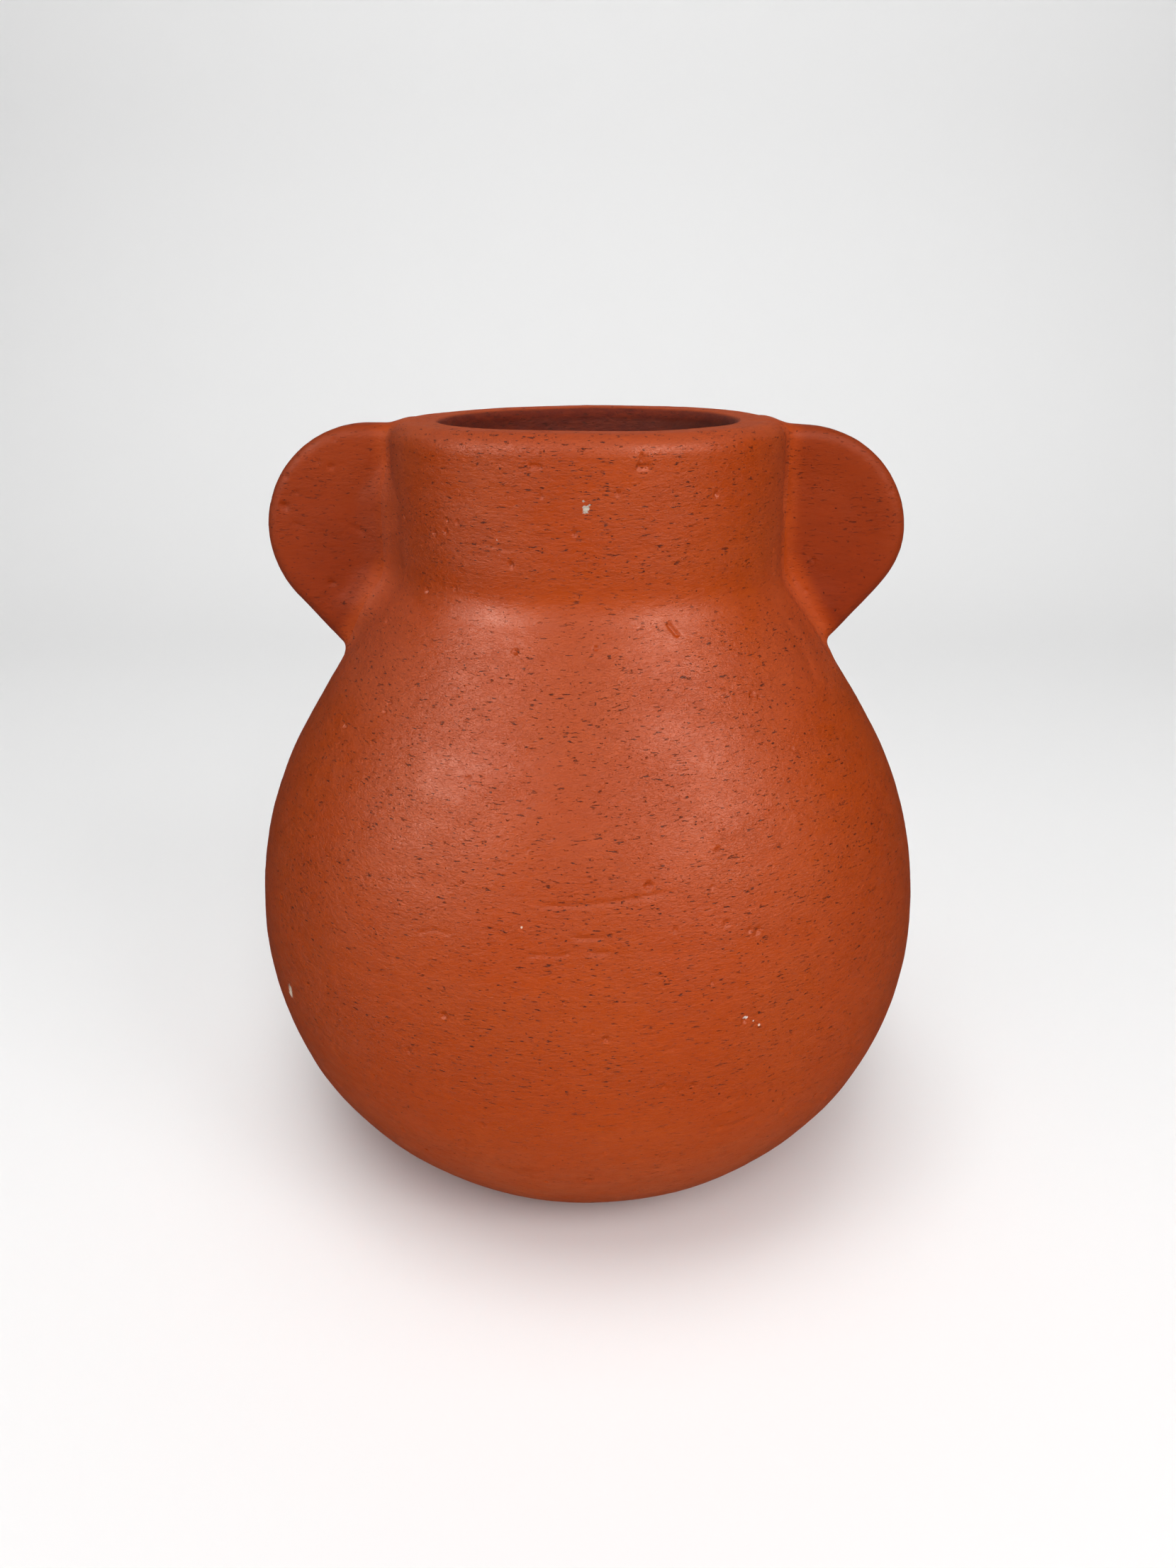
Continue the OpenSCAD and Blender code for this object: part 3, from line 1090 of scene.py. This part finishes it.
def build_clay(name, on_lug):
    """Fired clay: orange with redder and paler clouds, torn in short level dashes by tools."""
    clay = Shader(name)
    place = clay.node("TexCoord").outputs["Object"]
    where = clay.vector("MULTIPLY", place, (1 / MM, 1 / MM, 1 / MM))
    flat_place = clay.vector("MULTIPLY", where, (1, 1, 0))
    split = clay.node("SeparateXYZ", where)
    x, z = split.outputs["X"], split.outputs["Z"]
    drag = drag_share(clay, where, z, on_lug)
    within = None if on_lug else inside_share(clay, flat_place)
    tears = clay.step(clay.noise(where, (2.6, 2.6, 0.6), 3, 0.6, 5.0), 0.63, 0.67)
    pores = clay.step(clay.noise(where, (1.5, 1.5, 1.1), 1, 0.5, 9.0), 0.75, 0.78)

    bump = clay.node("Bump")
    bump.inputs["Distance"].default_value = MM
    clay.put(bump.inputs["Height"], torn_relief(clay, where, drag, tears, pores))

    # Painted shade darkens every tear and pore
    colour = clouded_colour(clay, where, z, lug_share(clay, flat_place, z), within)
    colour = clay.blend(clay.times(tears, clay.add(drag, 0.15), 0.95), colour, PAINTED_RECESS_SHADE)
    colour = clay.blend(clay.times(pores, 0.9), colour, PAINTED_RECESS_SHADE)
    if not on_lug:
        colour = with_flecks(clay, where, colour)

    shader = clay.surface.inputs
    clay.put(shader["Base Color"], colour)
    clay.put(shader["Roughness"], clay_roughness(clay, where, x, z, within))
    clay.put(shader["Normal"], bump.outputs[0])
    shader["Specular IOR Level"].default_value = LUG_SPECULAR if on_lug else BODY_SPECULAR
    shader["Specular Tint"].default_value = SHEEN
    return clay.material


body_clay = build_clay("terracotta", False)
lug_clay = build_clay("terracotta_red", True)

# ---------------------------------------------------------------- the pieces

for node_name in ("lower_body", "upper_body", "shoulder", "neck", "lip"):
    piece = wall_piece(node_name, body_clay)
    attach(piece, "root")
    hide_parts(node_name)

piece = base_piece(body_clay)
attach(piece, "root")
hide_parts("base_slab")

for node_name, lug_side in (("left_lug", -1), ("right_lug", 1)):
    piece = lug_piece(node_name, lug_side, lug_clay)
    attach(piece, "root")
    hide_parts(node_name)

# ---------------------------------------------------------------- floor and light

# The paper in metres: how far it comes forward, half its width, where it starts to curve up
# behind the jar, that curve's radius, and its top
PAPER_FRONT, SWEEP_HALF, SWEEP_START, CURVE_R, WALL_TOP = 1.3, 1.0, 0.8, 0.6, 1.3
PALE = (0.86, 0.86, 0.86, 1)
# The lamps in metres and watts
PAPER_POWER, PAPER_LIGHT_SIZE = 22, 2.0
PAPER_LIGHT_PLACE, PAPER_LIGHT_WAY = (0, -0.3, 2.6), (0, -0.35, 1)
LAMP_DISTANCE, LAMP_AIM = 2.5, (0, 0, 0.18)
WORLD_STRENGTH = 0.03


def stage_mesh(name, verts, faces):
    """A plain pale stage object that doesn't show in the clay's highlights."""
    mesh = bpy.data.meshes.new(name)
    mesh.from_pydata(verts, [], faces)
    mesh.polygons.foreach_set("use_smooth", np.ones(len(mesh.polygons), bool))
    piece = bpy.data.objects.new(name, mesh)
    bpy.context.scene.collection.objects.link(piece)
    material = bpy.data.materials.new(name)
    material.use_nodes = True
    shader = material.node_tree.nodes["Principled BSDF"]
    shader.inputs["Base Color"].default_value = PALE
    shader.inputs["Roughness"].default_value = 0.9
    mesh.materials.append(material)
    piece.visible_glossy = False
    return piece


def make_stage():
    """A plain pale studio: a sheet of paper that lies under the jar and curves up behind it."""
    profile = [(-PAPER_FRONT, 0), (SWEEP_START, 0)]
    for bend in np.linspace(0, math.pi / 2, 13)[1:]:
        profile.append((SWEEP_START + CURVE_R * math.sin(bend), CURVE_R * (1 - math.cos(bend))))
    profile.append((SWEEP_START + CURVE_R, WALL_TOP))
    verts, faces = [], []
    for y, z in profile:
        verts += [(-SWEEP_HALF, y, z), (SWEEP_HALF, y, z)]
    for row in range(len(profile) - 1):
        n = 2 * row
        faces.append((n, n + 1, n + 3, n + 2))
    return stage_mesh("paper", verts, faces)


def make_light(name, toward, size, power, kind):
    """A soft square white light that shines on the jar's shoulder from a direction.

    The kind "sheen" only makes highlights, and the kind "fill" lights without making any.
    """
    data = bpy.data.lights.new(name, "AREA")
    data.shape = "SQUARE"
    data.size = size
    data.energy = power
    light = bpy.data.objects.new(name, data)
    way = Vector(toward).normalized()
    light.location = Vector(LAMP_AIM) + way * LAMP_DISTANCE
    light.rotation_euler = way.to_track_quat("Z", "Y").to_euler()
    light.visible_diffuse = kind == "fill"
    light.visible_glossy = kind == "sheen"
    bpy.context.scene.collection.objects.link(light)


def light_paper(paper):
    """A broad overhead light that falls on the paper alone, to make it evenly pale."""
    data = bpy.data.lights.new("paper_light", "AREA")
    data.shape = "SQUARE"
    data.size = PAPER_LIGHT_SIZE
    data.energy = PAPER_POWER
    light = bpy.data.objects.new("paper_light", data)
    light.location = PAPER_LIGHT_PLACE
    light.rotation_euler = Vector(PAPER_LIGHT_WAY).to_track_quat("Z", "Y").to_euler()
    only_paper = bpy.data.collections.new("paper")
    only_paper.objects.link(paper)
    light.light_linking.receiver_collection = only_paper
    bpy.context.scene.collection.objects.link(light)


def make_world():
    """Dim all round, but as pale as the paper where the camera looks past it."""
    world = bpy.data.worlds.new("world")
    world.use_nodes = True
    tree = world.node_tree
    tree.nodes.clear()
    rays = tree.nodes.new("ShaderNodeLightPath")
    dim = tree.nodes.new("ShaderNodeBackground")
    dim.inputs["Color"].default_value = (1, 1, 1, 1)
    dim.inputs["Strength"].default_value = WORLD_STRENGTH
    pale = tree.nodes.new("ShaderNodeBackground")
    pale.inputs["Color"].default_value = PALE
    mix = tree.nodes.new("ShaderNodeMixShader")
    out = tree.nodes.new("ShaderNodeOutputWorld")
    tree.links.new(rays.outputs["Is Camera Ray"], mix.inputs[0])
    tree.links.new(dim.outputs[0], mix.inputs[1])
    tree.links.new(pale.outputs[0], mix.inputs[2])
    tree.links.new(mix.outputs[0], out.inputs["Surface"])
    bpy.context.scene.world = world


paper = make_stage()
make_world()
make_light("sheen_left", (-0.70, -0.41, 0.59), 0.9, 128, "sheen")
make_light("sheen_right", (0.58, -0.51, 0.63), 1.0, 124, "sheen")
make_light("front", (0.05, -0.75, 0.66), 1.25, 30, "fill")
make_light("low", (0.1, -0.92, 0.38), 1.25, 9, "fill")
make_light("top", (-0.12, -0.25, 0.96), 1.4, 20, "fill")
make_light("side", (0.6, -0.6, 0.55), 0.9, 11, "fill")
light_paper(paper)
bpy.context.scene.view_settings.view_transform = "Standard"
